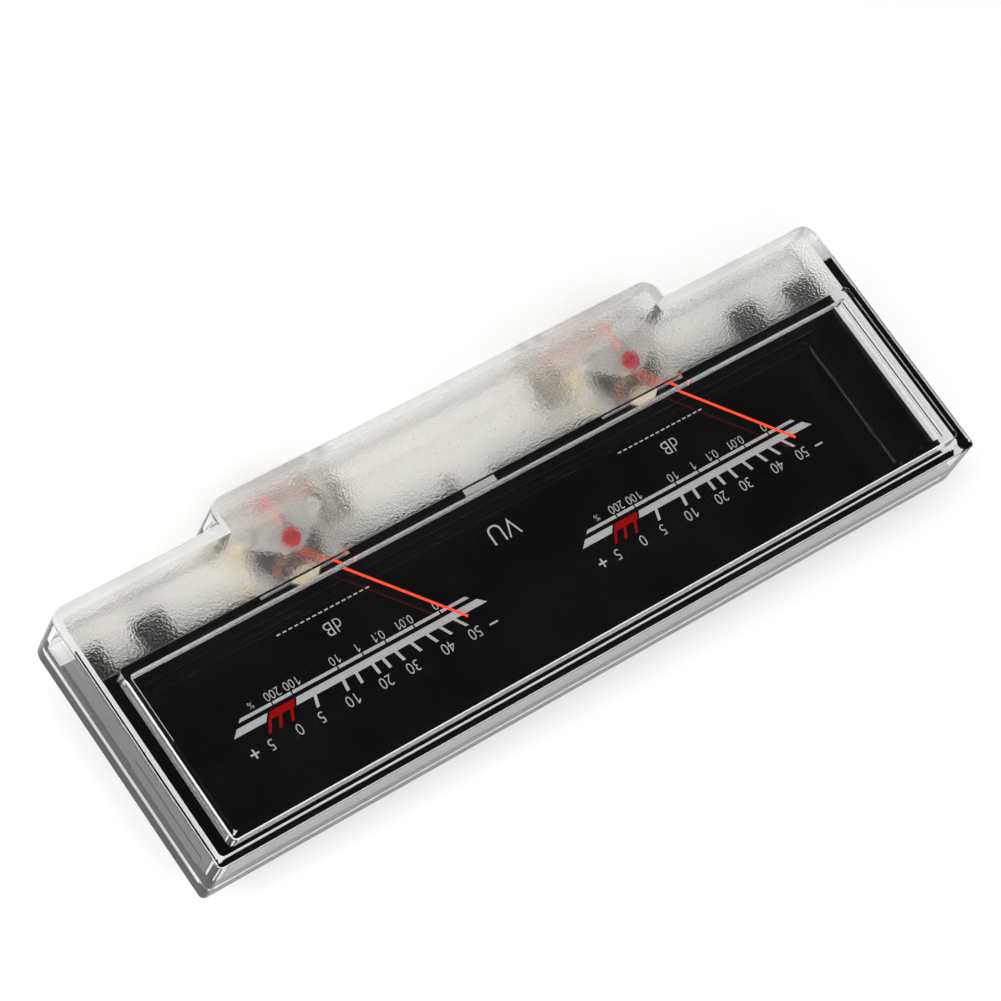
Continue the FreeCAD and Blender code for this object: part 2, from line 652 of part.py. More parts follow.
def make_dial_screws():
    screws = [
        slotted_screw(
            f"dial_screw_{side}", "dim.dial_screw_radius", "dim.dial_screw_length", "dim.dial_head_radius",
            "dim.dial_head_height", "dim.dial_top", "-", f"{sign}dim.lug_spacing / 2", DIAL_SCREW_Y,
        )
        for side, sign in (("left", "-"), ("right", ""))
    ]
    keep("dial_screws", group("dial_screws", *screws))


# ---------------------------------------------------------------- fixed pieces of one movement

def make_movement_frame(side):
    name = f"movement_frame_{side}"
    body = new_body(name)
    half = "dim.frame_width / 2"
    plate = (draw_rectangle, f"-{half}", half, "-dim.frame_rear", "dim.frame_front")
    pad(body, f"{name}_plate", "dim.floor", PLATE_TOP, plate)
    nose_root = "dim.frame_front"
    nose_tip = "dim.frame_front + dim.nose_length"
    nose = (
        draw_polygon,
        ("-dim.nose_width / 2", nose_root),
        ("dim.nose_width / 2", nose_root),
        ("dim.nose_tip_width / 2", nose_tip),
        ("-dim.nose_tip_width / 2", nose_tip),
    )
    pad(body, f"{name}_nose", "dim.floor", "dim.floor + dim.nose_height", nose)
    posts = mirrored(draw_circle, "dim.post_x", "-dim.post_y", "dim.post_radius")
    pad(body, f"{name}_posts", PLATE_TOP, POST_TOP, *posts)
    pillar_half = "dim.core_pillar_width / 2"
    rear_pillar = (draw_rectangle, f"-{pillar_half}", pillar_half, "-dim.frame_rear", "-dim.core_flat")
    front_pillar = (
        draw_rectangle, f"-{pillar_half}", pillar_half, "dim.core_flat", f"{YOKE_BAR} - dim.screw_gap"
    )
    pad(body, f"{name}_core_pillars", PLATE_TOP, CORE_TOP, rear_pillar, front_pillar)
    stud = (draw_circle, "0", f"-{STUD_Y}", "dim.stud_radius")
    pad(body, f"{name}_stud", PLATE_TOP, f"{LOWER_SPRING} + dim.spring_height", stud)
    bore = (draw_circle, "0", "0", "dim.jewel_screw_radius + dim.screw_gap")
    pocket(body, f"{name}_bore", "dim.floor", PLATE_TOP, bore)
    pilots = mirrored(draw_circle, "dim.post_x", "-dim.post_y", "dim.small_screw_radius + dim.screw_gap")
    pilot_depth = "(dim.small_screw_length + dim.screw_gap)"
    pocket(body, f"{name}_upper_pilots", f"{POST_TOP} - {pilot_depth}", POST_TOP, *pilots)
    pocket(body, f"{name}_lower_pilots", "dim.floor", f"dim.floor + {pilot_depth}", *pilots)
    place_at_pivot(body, side)
    keep(name, body)


def make_yoke(side):
    name = f"yoke_{side}"
    half = "dim.yoke_width / 2"
    block = box(f"{name}_block", f"-{half}", half, "-dim.yoke_rear", YOKE_FRONT, PLATE_TOP, YOKE_TOP)
    bore = cylinder(f"{name}_bore", POLE_RADIUS, PLATE_TOP, YOKE_TOP)
    limit = box(f"{name}_limit", f"-{half}", half, f"-{POLE_RADIUS}", YOKE_BAR, PLATE_TOP, YOKE_TOP)
    yoke = cut(name, block, common(f"{name}_opening", bore, limit))
    place_at_pivot(yoke, side)
    keep(name, yoke)


def make_core_magnet(side):
    name = f"core_magnet_{side}"
    round_core = cylinder(f"{name}_round", "dim.core_radius", "dim.core_lift", CORE_TOP)
    half = "dim.core_radius"
    flats = box(f"{name}_flats", f"-{half}", half, "-dim.core_flat", "dim.core_flat", "dim.core_lift", CORE_TOP)
    core = common(name, round_core, flats)
    place_at_pivot(core, side)
    keep(name, core)


def make_upper_bridge(side):
    name = f"upper_bridge_{side}"
    body = new_body(name)
    half = "(dim.post_x + dim.bridge_edge)"
    rear = "-(dim.post_y + dim.bridge_edge)"
    shoulder = "-(dim.post_y - dim.bridge_edge)"
    plate = (
        draw_polygon,
        (f"-{half}", rear),
        (half, rear),
        (half, shoulder),
        ("dim.bridge_nose_width / 2", "dim.bridge_nose"),
        ("-dim.bridge_nose_width / 2", "dim.bridge_nose"),
        (f"-{half}", shoulder),
    )
    pad(body, f"{name}_plate", POST_TOP, BRIDGE_TOP, plate)
    screws = mirrored(draw_circle, "dim.post_x", "-dim.post_y", "dim.small_screw_radius + dim.screw_gap")
    thread = (draw_circle, "0", "0", "dim.jewel_screw_radius + dim.screw_gap")
    pocket(body, f"{name}_holes", POST_TOP, BRIDGE_TOP, thread, *screws)
    place_at_pivot(body, side)
    keep(name, body)


def make_small_screws(side, kind, seat, direction, reach):
    name = f"{kind}_screws_{side}"
    screws = [
        slotted_screw(
            f"{name}_{index}", "dim.small_screw_radius", reach, f"dim.{kind}_head_radius",
            "dim.small_head_height", seat, direction, f"{sign}dim.post_x", "-dim.post_y",
        )
        for index, sign in enumerate(("-", ""), start=1)
    ]
    pair = group(name, *screws)
    place_at_pivot(pair, side)
    keep(name, pair)


def make_jewel_screw(side, level, head_low, low, high, slot_low, seat_low, seat_high):
    name = f"{level}_jewel_screw_{side}"
    half = f"dim.jewel_{'head' if head_low else 'screw'}_radius"
    blank = cylinder(f"{name}_shank", "dim.jewel_screw_radius", low, high)
    if head_low:
        blank = fuse(f"{name}_blank", blank, cylinder(f"{name}_head", half, head_low, high))
    slot = box(
        f"{name}_slot", f"-{half}", half, "-dim.slot_width / 2", "dim.slot_width / 2",
        slot_low, f"{slot_low} + dim.slot_depth",
    )
    seat = cylinder(f"{name}_seat", "dim.jewel_radius + dim.pivot_gap", seat_low, seat_high)
    screw = cut(name, blank, slot, seat)
    place_at_pivot(screw, side)
    keep(name, screw)


def make_jewels(side):
    name = f"jewels_{side}"
    upper_top = f"{UPPER_SCREW_BOTTOM} + dim.jewel_height"
    lower_bottom = f"{LOWER_SCREW_TOP} - dim.jewel_height"
    upper_cup = cone(
        f"{name}_upper_cup", "dim.jewel_mouth", "dim.jewel_seat", UPPER_SCREW_BOTTOM,
        f"{UPPER_SCREW_BOTTOM} + dim.jewel_depth",
    )
    lower_cup = cone(
        f"{name}_lower_cup", "dim.jewel_seat", "dim.jewel_mouth", f"{LOWER_SCREW_TOP} - dim.jewel_depth",
        LOWER_SCREW_TOP,
    )
    upper = cylinder(f"{name}_upper_blank", "dim.jewel_radius", UPPER_SCREW_BOTTOM, upper_top)
    lower = cylinder(f"{name}_lower_blank", "dim.jewel_radius", lower_bottom, LOWER_SCREW_TOP)
    pair = group(name, cut(f"{name}_upper", upper, upper_cup), cut(f"{name}_lower", lower, lower_cup))
    place_at_pivot(pair, side)
    keep(name, pair)


def make_stop_pins(side):
    name = f"stop_pins_{side}"
    lean = "asin((dim.pointer_width / 2 + dim.stop_radius + dim.stop_gap) / dim.stop_reach)"
    angles = (f"(dim.rest_angle * 1 deg + {lean})", f"((dim.rest_angle - dim.swing) * 1 deg - {lean})")
    pins = [
        cylinder(
            f"{name}_{index}", "dim.stop_radius", YOKE_TOP, f"{YOKE_TOP} + dim.stop_height",
            f"-dim.stop_reach * sin({angle})", f"dim.stop_reach * cos({angle})",
        )
        for index, angle in enumerate(angles, start=1)
    ]
    pair = group(name, *pins)
    place_at_pivot(pair, side)
    keep(name, pair)


def make_lead_wire(side):
    """Red lead from the upper bridge over the rear wall of the tray, down and across to the nearer lug."""
    name = f"lead_wire_{side}"
    axis, middle = pivot_x(side), terminal_middles(side)[0]
    start = f"({PIVOT_Y} - dim.lead_start)"
    high = f"({BRIDGE_TOP} + dim.lever_gap + dim.lead_radius)"
    low = "(dim.floor + dim.terminal_thickness + dim.lead_lift + dim.lead_radius)"
    ends = (axis, middle) if side == "left" else (middle, axis)
    runs = [
        rod(f"{name}_rear", "y", f"{start} - {LUG_HOLE_Y}", axis, LUG_HOLE_Y, high),
        rod(f"{name}_down", "z", f"{high} - {low}", axis, LUG_HOLE_Y, low),
        rod(f"{name}_across", "x", f"{ends[1]} - {ends[0]}", ends[0], LUG_HOLE_Y, low),
        rod(f"{name}_end", "z", f"{low} - dim.floor", middle, LUG_HOLE_Y, "dim.floor"),
    ]
    for index, (x, level) in enumerate(((axis, high), (axis, low), (middle, low))):
        bend = MODEL.addObject("Part::Sphere", f"{name}_bend{index}")
        bend.setExpression("Radius", "dim.lead_radius")
        place(bend, x, LUG_HOLE_Y, level)
        runs.append(bend)
    keep(name, fuse(name, *runs))


def rod(name, direction, length, x, y, z):
    """Round wire of the given length that starts at a point and runs along one axis."""
    turns = {
        "x": (FreeCAD.Vector(0, 1, 0), 90),
        "y": (FreeCAD.Vector(1, 0, 0), -90),
        "z": (FreeCAD.Vector(0, 0, 1), 0),
    }
    made = MODEL.addObject("Part::Cylinder", name)
    made.Placement = FreeCAD.Placement(FreeCAD.Vector(), FreeCAD.Rotation(*turns[direction]))
    made.setExpression("Radius", "dim.lead_radius")
    made.setExpression("Height", length)
    place(made, x, y, z)
    return made


def make_terminals(side):
    name = f"terminals_{side}"
    top = "dim.floor + dim.terminal_thickness"
    half = "(dim.terminal_width / 2)"
    inwards = {"left": "+", "right": "-"}[side]
    frame_side = f"({pivot_x(side)} {inwards} (dim.frame_width / 2 + dim.lever_gap))"
    strips = []
    for index, middle in enumerate(terminal_middles(side)):
        inner_end = f"({INNER_REAR} + dim.terminal_reach + {index} * dim.terminal_width)"
        strip = box(f"{name}_strip{index}", f"{middle} - {half}", f"{middle} + {half}", LUG_END, inner_end,
                    "dim.floor", top)
        ends = (frame_side, middle) if inwards == "+" else (middle, frame_side)
        foot = box(f"{name}_foot{index}", *ends, f"{inner_end} - {half}", inner_end, "dim.floor", top)
        hole = cylinder(f"{name}_hole{index}", "dim.terminal_hole", "dim.floor", top, middle, LUG_HOLE_Y)
        strips.append(cut(f"{name}_{index}", fuse(f"{name}_blank{index}", strip, foot), hole))
    keep(name, group(name, *strips))


# ---------------------------------------------------------------- swinging pieces of one movement

def make_loop(node, side, width, outer, inner):
    """Upright rectangular loop round the core, as wide along the pointer as width."""
    name = f"{node}_{side}"
    body = new_body(name)
    extrude(body, "Pad", f"{name}_loop", f"-{width} / 2", width, (outer, inner), "XZ_Plane")
    place_at_pivot(body, side)
    turn_to_rest(body)
    keep(name, body)


def make_coil(side):
    opening = (draw_rectangle, f"-{FORMER_INNER}", FORMER_INNER, FORMER_FLOOR, FORMER_CEILING)
    former = (
        draw_rounded, f"-{FORMER_OUTER}", FORMER_OUTER, FORMER_BOTTOM, FORMER_TOP, "dim.former_round"
    )
    winding = (
        draw_rounded, f"-{WINDING_OUTER}", WINDING_OUTER, WINDING_BOTTOM, WINDING_TOP, "dim.winding_round"
    )
    make_loop("coil_former", side, "dim.former_width", former, opening)
    make_loop("coil_winding", side, "dim.winding_width", winding, former)


def make_balance_cross(side):
    name = f"balance_cross_{side}"
    half = "dim.cross_arm_width / 2"
    disc = cylinder(f"{name}_disc", "dim.cross_radius", WINDING_TOP, CROSS_TOP)
    side_arms = box(f"{name}_side", "-dim.side_arm", "dim.side_arm", f"-{half}", half, WINDING_TOP, CROSS_TOP)
    rear_arm = box(f"{name}_rear", f"-{half}", half, "-dim.rear_arm", "0", WINDING_TOP, CROSS_TOP)
    hole = cylinder(f"{name}_hole", "dim.pivot_radius + dim.pivot_gap", WINDING_TOP, CROSS_TOP)
    cross = cut(name, fuse(f"{name}_blank", disc, side_arms, rear_arm), hole)
    place_at_pivot(cross, side)
    turn_to_rest(cross)
    keep(name, cross)


def make_counterweights(side):
    name = f"counterweights_{side}"
    top = f"{CROSS_TOP} + dim.weight_height"
    side_x = "(dim.side_arm - dim.side_weight_radius)"
    rear_y = "-(dim.rear_arm - dim.rear_weight_radius)"
    weights = [
        cylinder(f"{name}_1", "dim.side_weight_radius", CROSS_TOP, top, f"-{side_x}"),
        cylinder(f"{name}_2", "dim.side_weight_radius", CROSS_TOP, top, side_x),
        cylinder(f"{name}_3", "dim.rear_weight_radius", CROSS_TOP, top, "0", rear_y),
    ]
    trio = group(name, *weights)
    place_at_pivot(trio, side)
    turn_to_rest(trio)
    keep(name, trio)


def make_pointer(side):
    name = f"pointer_{side}"
    body = new_body(name)
    blade_top = "dim.pointer_lift + dim.pointer_thickness"
    blade = (
        draw_polygon,
        ("0", CROSS_TOP),
        ("dim.crank_start", CROSS_TOP),
        ("dim.crank_end", "dim.pointer_lift"),
        ("dim.pointer_length", "dim.pointer_lift"),
        ("dim.pointer_length", blade_top),
        ("dim.crank_end + dim.pointer_thickness / 2", blade_top),
        ("dim.crank_start + dim.pointer_thickness / 2", HUB_TOP),
        ("0", HUB_TOP),
    )
    extrude(body, "Pad", f"{name}_blade", "-dim.pointer_width / 2", "dim.pointer_width", (blade,), "YZ_Plane")
    pad(body, f"{name}_hub", CROSS_TOP, HUB_TOP, (draw_circle, "0", "0", "dim.pointer_hub_radius"))
    hole = (draw_circle, "0", "0", "dim.pivot_radius + dim.pivot_gap")
    pocket(body, f"{name}_hole", CROSS_TOP, HUB_TOP, hole)
    place_at_pivot(body, side)
    turn_to_rest(body)
    keep(name, body)


def make_pivots(side):
    upper = f"upper_pivot_{side}"
    upper_pivot = fuse(
        upper,
        cylinder(f"{upper}_shank", "dim.pivot_radius", WINDING_TOP, HUB_TOP),
        cylinder(f"{upper}_collet", "dim.collet_radius", HUB_TOP, UPPER_COLLET_TOP),
        cone(f"{upper}_tip", "dim.tip_radius", "dim.point_radius", UPPER_COLLET_TOP, UPPER_POINT),
    )
    lower = f"lower_pivot_{side}"
    lower_pivot = fuse(
        lower,
        cylinder(f"{lower}_collet", "dim.collet_radius", LOWER_COLLET_BOTTOM, WINDING_BOTTOM),
        cone(f"{lower}_tip", "dim.point_radius", "dim.tip_radius", LOWER_POINT, LOWER_COLLET_BOTTOM),
    )
    for name, pivot in ((upper, upper_pivot), (lower, lower_pivot)):
        place_at_pivot(pivot, side)
        keep(name, pivot)


# ---------------------------------------------------------------- springs and zero lever

def spiral_edge(offset, centre_shift, radii, height):
    """Half circles about two centres, each larger than the last, shifted outwards by offset."""
    edges = []
    for index, radius in enumerate(radii):
        sign = 1 if index % 2 == 0 else -1
        x = -sign * centre_shift
        reach = radius + offset
        start = FreeCAD.Vector(x + sign * reach, 0, height)
        middle = FreeCAD.Vector(x, sign * reach, height)
        end = FreeCAD.Vector(x - sign * reach, 0, height)
        edges.append(Part.Arc(start, middle, end).toShape())
    return edges


def make_hairspring(side, level, z_low):
    name = f"{level}_hairspring_{side}"
    count = int(number("dim.spring_half_turns"))
    half_ribbon = number("dim.spring_ribbon") / 2
    inner = number("dim.collet_radius + dim.spring_gap") + half_ribbon
    outer = number("dim.spring_outer") - half_ribbon
    step = (outer - inner) / count
    centre_shift = step / 2
    radii = [inner + centre_shift + index * step for index in range(count)]
    height = number(z_low)
    inside = spiral_edge(-half_ribbon, centre_shift, radii, height)
    outside = spiral_edge(half_ribbon, centre_shift, radii, height)
    caps = [
        Part.LineSegment(inside[end].Vertexes[end].Point, outside[end].Vertexes[end].Point).toShape()
        for end in (0, -1)
    ]
    outline = Part.Wire(Part.__sortEdges__(inside + outside + caps))
    spring = MODEL.addObject("Part::Feature", name)
    ribbon = Part.Face(outline).extrude(FreeCAD.Vector(0, 0, number("dim.spring_height")))
    spring.Shape = ribbon
    place_at_pivot(spring, side)
    keep(name, spring)


def make_zero_lever(side):
    name = f"zero_lever_{side}"
    half = "dim.lever_width / 2"
    ring = cylinder(f"{name}_ring", "dim.lever_radius", LEVER_BOTTOM, LEVER_TOP)
    tail = box(f"{name}_tail", f"-{half}", half, "-dim.lever_tail", "0", LEVER_BOTTOM, LEVER_TOP)
    stud = cylinder(f"{name}_stud", "dim.stud_radius", UPPER_SPRING, LEVER_BOTTOM, "0", f"-{STUD_Y}")
    hole = cylinder(f"{name}_hole", "dim.jewel_screw_radius + dim.lever_gap", LEVER_BOTTOM, LEVER_TOP)
    fork = box(
        f"{name}_fork", "-dim.lever_fork / 2", "dim.lever_fork / 2", "-dim.lever_tail",
        "-dim.lever_tail + dim.lever_fork_depth", LEVER_BOTTOM, LEVER_TOP,
    )
    lever = cut(name, fuse(f"{name}_blank", ring, tail, stud), hole, fork)
    place_at_pivot(lever, side)
    keep(name, lever)


def make_movement(side):
    make_movement_frame(side)
    make_yoke(side)
    make_core_magnet(side)
    make_upper_bridge(side)
    make_small_screws(side, "bridge", BRIDGE_TOP, "-", "(dim.bridge_thickness + dim.small_screw_length)")
    frame_seat = "(dim.frame_head_sink + dim.small_head_height)"
    make_small_screws(side, "frame", frame_seat, "+", f"(dim.floor - {frame_seat} + dim.small_screw_length)")
    upper_top = f"({UPPER_SCREW_BOTTOM} + dim.upper_screw_length)"
    head_low = f"({BRIDGE_TOP} + dim.lever_gap)"
    make_jewel_screw(
        side, "upper", head_low, UPPER_SCREW_BOTTOM, upper_top, f"{upper_top} - dim.slot_depth",
        UPPER_SCREW_BOTTOM, f"{UPPER_SCREW_BOTTOM} + dim.jewel_height",
    )
    lower_bottom = f"({LOWER_SCREW_TOP} - dim.lower_screw_length)"
    make_jewel_screw(
        side, "lower", None, lower_bottom, LOWER_SCREW_TOP, lower_bottom,
        f"{LOWER_SCREW_TOP} - dim.jewel_height", LOWER_SCREW_TOP,
    )
    make_jewels(side)
    make_stop_pins(side)
    make_terminals(side)
    make_lead_wire(side)
    make_coil(side)
    make_balance_cross(side)
    make_counterweights(side)
    make_pointer(side)
    make_pivots(side)
    make_hairspring(side, "upper", UPPER_SPRING)
    make_hairspring(side, "lower", LOWER_SPRING)
    make_zero_lever(side)


def check_model():
    MODEL.recompute()
    for item in MODEL.Objects:
        if "Invalid" in item.State or "Error" in item.State:
            raise ValueError(f"{item.Name} failed: {item.State}")
    for node in NODES:
        if node.Shape.isNull() or not node.Shape.isValid():
            raise ValueError(f"{node.Label} has a bad shape")


def export_nodes():
    os.makedirs("parts", exist_ok=True)
    for node in NODES:
        node.Shape.exportStep(f"parts/{node.Label}.step")


make_front_cover()
make_rear_cover()
make_dial_plate()
make_dial_screws()
for movement_side in ("left", "right"):
    make_movement(movement_side)
check_model()
export_nodes()
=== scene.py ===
import math

import bmesh
import bpy
from mathutils import Matrix, Vector


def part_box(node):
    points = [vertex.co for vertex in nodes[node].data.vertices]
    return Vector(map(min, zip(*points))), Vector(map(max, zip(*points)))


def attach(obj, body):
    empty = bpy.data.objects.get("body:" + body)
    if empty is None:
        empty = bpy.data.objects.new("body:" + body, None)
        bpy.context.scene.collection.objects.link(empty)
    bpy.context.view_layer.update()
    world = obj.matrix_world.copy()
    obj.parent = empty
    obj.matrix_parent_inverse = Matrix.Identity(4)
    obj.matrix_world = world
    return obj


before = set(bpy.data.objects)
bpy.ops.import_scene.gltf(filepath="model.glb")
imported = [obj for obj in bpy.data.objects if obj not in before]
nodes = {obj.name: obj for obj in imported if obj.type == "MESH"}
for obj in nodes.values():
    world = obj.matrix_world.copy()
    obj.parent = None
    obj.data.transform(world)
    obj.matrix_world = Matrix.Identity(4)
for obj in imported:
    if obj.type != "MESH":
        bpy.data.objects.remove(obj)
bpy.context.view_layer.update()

MM = 0.001
SIDES = ("left", "right")

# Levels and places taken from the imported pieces.
DIAL_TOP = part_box("dial_plate")[1].z
COVER_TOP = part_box("front_cover")[1].z
AXIS = {}
for meter_side in SIDES:
    low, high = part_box(f"upper_pivot_{meter_side}")
    AXIS[meter_side] = (low + high) / 2


# ---------------------------------------------------------------- material nodes

class Shader:
    """A new material with a Principled node, and short calls for the nodes that feed it."""

    def __init__(self, name, **values):
        self.material = bpy.data.materials.new(name)
        self.material.use_nodes = True
        self.tree = self.material.node_tree
        self.tree.nodes.clear()
        self.output = self.node("ShaderNodeOutputMaterial")
        self.surface = self.node("ShaderNodeBsdfPrincipled")
        self.link(self.surface.outputs[0], self.output.inputs["Surface"])
        self.place = self.node("ShaderNodeTexCoord").outputs["Object"]
        for key, value in values.items():
            self.set(key, value)

    def node(self, kind, **settings):
        made = self.tree.nodes.new(kind)
        for key, value in settings.items():
            setattr(made, key, value)
        return made

    def link(self, source, target):
        self.tree.links.new(source, target)

    def fill(self, socket, value):
        """Links the socket when value is another node's output, and sets it when value is a number."""
        if hasattr(value, "is_output"):
            self.link(value, socket)
        else:
            socket.default_value = value

    def set(self, key, value):
        """Fills the input of the Principled node that key names, as in base_color."""
        self.fill(self.surface.inputs[key.replace("_", " ").title().replace("Ior", "IOR")], value)

    def feed(self, made, *in_order, **by_name):
        """Fills inputs of the node made and returns its first output."""
        for socket, value in zip(made.inputs, in_order):
            self.fill(socket, value)
        for key, value in by_name.items():
            self.fill(made.inputs[key], value)
        return made.outputs[0]

    def noise(self, size, detail=3.0, rough=0.55, stretch=(1, 1, 1)):
        """Noise whose features are about size metres across, divided along each axis by its stretch."""
        moved = self.feed(self.node("ShaderNodeMapping"), Vector=self.place, Scale=stretch)
        made = self.node("ShaderNodeTexNoise")
        self.feed(made, Vector=moved, Scale=1 / size, Detail=detail, Roughness=rough)
        return made.outputs["Fac"]

    def cells(self, size):
        """Distance to the middle of cells that are about size metres across."""
        made = self.node("ShaderNodeTexVoronoi")
        self.feed(made, Vector=self.place, Scale=1 / size)
        return made.outputs["Distance"]

    def maths(self, operation, *values):
        return self.feed(self.node("ShaderNodeMath", operation=operation), *values)

    def spread(self, source, low, high, start=0.0, end=1.0):
        """source mapped from start..end to low..high."""
        values = {"Value": source, "From Min": start, "From Max": end, "To Min": low, "To Max": high}
        return self.feed(self.node("ShaderNodeMapRange", clamp=True), **values)

    def colours(self, source, low, high, start=0.35, end=0.65):
        """A colour that goes from low to high while source goes from start to end."""
        made = self.node("ShaderNodeValToRGB")
        for stop, position, colour in zip(made.color_ramp.elements, (start, end), (low, high)):
            stop.position = position
            stop.color = (*colour, 1)
        return self.feed(made, source)

    def blend(self, factor, first, second):
        """Mixes the colour output first, where factor is 0, with the plain colour second, where it is 1."""
        made = self.node("ShaderNodeMix", data_type="RGBA")
        colour_inputs, colour_output = made.inputs[6:8], made.outputs[2]
        self.link(factor, made.inputs[0])
        self.link(first, colour_inputs[0])
        colour_inputs[1].default_value = (*second, 1)
        return colour_output

    def bump(self, height, distance, strength=1.0):
        made = self.node("ShaderNodeBump")
        self.set("normal", self.feed(made, Height=height, Distance=distance, Strength=strength))


# ---------------------------------------------------------------- clear plastic

CLEAR_IOR = 1.49
CLEAR_TINTS = ((0.975, 0.98, 0.978), (0.995, 0.995, 0.99))
STRAIGHT_TINT = (0.975, 0.975, 0.97)    # of the light that passes without being bent
HAZE_SIZE, HAZE_ROUGHNESS = 9 * MM, 0.03
RIPPLE_SIZE, RIPPLE_DEPTH, RIPPLE_STRENGTH = 5 * MM, 0.01 * MM, 0.3

FROST_LEVEL = COVER_TOP - 3.8 * MM      # the underside of the flange
FROST_LEVEL_FULL, FROST_LEVEL_END = 0.02 * MM, 0.06 * MM    # distances from that level
FROST_FRONT = -7.4 * MM                 # the field begins behind the rear wall of the window
FROST_EDGE = 0.05 * MM                  # the width over which it begins
FROST_TINT = (0.85, 0.815, 0.755)
FROST_GRAIN = 0.30 * MM
FROST_DEPTH = 0.111 * MM
FROST_ROUGHNESS = 0.29
FROST_RIPPLE = 0.006                    # height of the ripple, in parts of the depth of the grain


def let_light_through(shader, tint):
    """Lamps and diffuse light pass the clear plastic straight; the eye sees it bend."""
    path = shader.node("ShaderNodeLightPath")
    straight = shader.maths("MAXIMUM", path.outputs["Is Shadow Ray"], path.outputs["Is Diffuse Ray"])
    open_air = shader.feed(shader.node("ShaderNodeBsdfTransparent"), (*tint, 1))
    mix = shader.feed(shader.node("ShaderNodeMixShader"), straight, shader.surface.outputs[0], open_air)
    shader.link(mix, shader.output.inputs["Surface"])


def frost_mask(shader):
    """1 on the underside of the flange behind the window, and 0 on the rest of the cover."""
    split = shader.node("ShaderNodeSeparateXYZ")
    shader.feed(split, shader.place)
    away = shader.maths("ABSOLUTE", shader.maths("SUBTRACT", split.outputs["Z"], FROST_LEVEL))
    level = shader.spread(away, 1.0, 0.0, FROST_LEVEL_FULL, FROST_LEVEL_END)
    behind = shader.spread(split.outputs["Y"], 1.0, 0.0, FROST_FRONT - FROST_EDGE, FROST_FRONT)
    return shader.maths("MULTIPLY", level, behind)


def clear_plastic(name, frosted):
    """Polished moulded acrylic. Where frosted, the underside of the flange is pebbled."""
    shader = Shader(name, transmission_weight=1.0, ior=CLEAR_IOR)
    haze = shader.noise(HAZE_SIZE)
    clear = shader.colours(haze, *CLEAR_TINTS)
    ripple = shader.noise(RIPPLE_SIZE, detail=1.0)
    smooth = shader.spread(haze, 0.0, HAZE_ROUGHNESS, 0.4, 0.8)
    if frosted:
        mask = frost_mask(shader)
        grain = shader.maths("MULTIPLY", shader.noise(FROST_GRAIN, detail=0.0), mask)
        rough = shader.maths("MULTIPLY", mask, FROST_ROUGHNESS)
        shader.set("base_color", shader.blend(mask, clear, FROST_TINT))
        shader.set("roughness", shader.maths("MAXIMUM", smooth, rough))
        shader.bump(shader.maths("ADD", grain, shader.maths("MULTIPLY", ripple, FROST_RIPPLE)), FROST_DEPTH)
    else:
        shader.set("base_color", clear)
        shader.set("roughness", smooth)
        shader.bump(ripple, RIPPLE_DEPTH, RIPPLE_STRENGTH)
    let_light_through(shader, STRAIGHT_TINT)
    return shader.material


# ---------------------------------------------------------------- the other materials

def black_paint():
    shader = Shader("black_dial_paint")
    dust = shader.cells(0.6 * MM)
    cloud = shader.noise(14 * MM)
    shader.set("base_color", shader.colours(cloud, (0.0035, 0.0035, 0.0037), (0.0055, 0.0055, 0.0057)))
    shader.set("roughness", shader.spread(dust, 0.02, 0.05, 0.0, 0.7))
    shader.bump(shader.noise(2.5 * MM), 0.001 * MM, 0.2)
    return shader.material


def thin_coat(name, low, high, shine=0.3):
    """Printing ink or lacquer."""
    shader = Shader(name, roughness=0.5, specular_ior_level=shine)
    grain = shader.noise(0.18 * MM, detail=2.0)
    shader.set("base_color", shader.colours(grain, low, high))
    shader.bump(grain, 0.003 * MM, 0.5)
    return shader.material


def moulded_plastic(name, low, high, rough=0.42):
    shader = Shader(name)
    cloud = shader.noise(3 * MM)
    grain = shader.noise(0.12 * MM, detail=4.0)
    shader.set("base_color", shader.colours(cloud, low, high))
    shader.set("roughness", shader.spread(grain, rough - 0.08, rough + 0.1, 0.3, 0.7))
    shader.bump(grain, 0.008 * MM, 0.5)
    return shader.material


def metal(name, low, high, rough, metallic=1.0):
    """Bare or, where metallic is less than 1, dull metal."""
    shader = Shader(name, metallic=metallic)
    cloud = shader.noise(1.6 * MM)
    grain = shader.noise(0.1 * MM)
    shader.set("base_color", shader.colours(cloud, low, high))
    shader.set("roughness", shader.spread(grain, rough - 0.08, rough + 0.12, 0.3, 0.7))
    shader.bump(grain, 0.004 * MM, 0.6)
    return shader.material


def copper_winding():
    shader = Shader("copper_winding", metallic=0.85, coat_weight=0.6, coat_roughness=0.2)
    strands = shader.noise(1.0 * MM, detail=1.0, rough=0.5, stretch=(14, 14, 0.6))
    shader.set("base_color", shader.colours(strands, (0.36, 0.085, 0.03), (0.78, 0.27, 0.12)))
    shader.set("roughness", shader.spread(strands, 0.2, 0.4))
    shader.bump(strands, 0.02 * MM, 0.8)
    return shader.material


def jewel_stone():
    shader = Shader("jewel_stone", transmission_weight=0.7, ior=1.77, roughness=0.05)
    cloud = shader.noise(0.2 * MM)
    shader.set("base_color", shader.colours(cloud, (0.55, 0.02, 0.10), (0.80, 0.05, 0.18)))
    return shader.material


def pointer_paint_and_glow():
    # Red paint with a painted glow: the emission makes the pointer shine by itself, though it is no lamp.
    shader = Shader("pointer_paint_and_glow", roughness=0.45, emission_color=(1.0, 0.06, 0.02, 1), emission_strength=0.35)
    grain = shader.noise(0.2 * MM)
    shader.set("base_color", shader.colours(grain, (0.95, 0.055, 0.018), (1.0, 0.085, 0.03)))
    shader.bump(grain, 0.003 * MM, 0.5)
    return shader.material


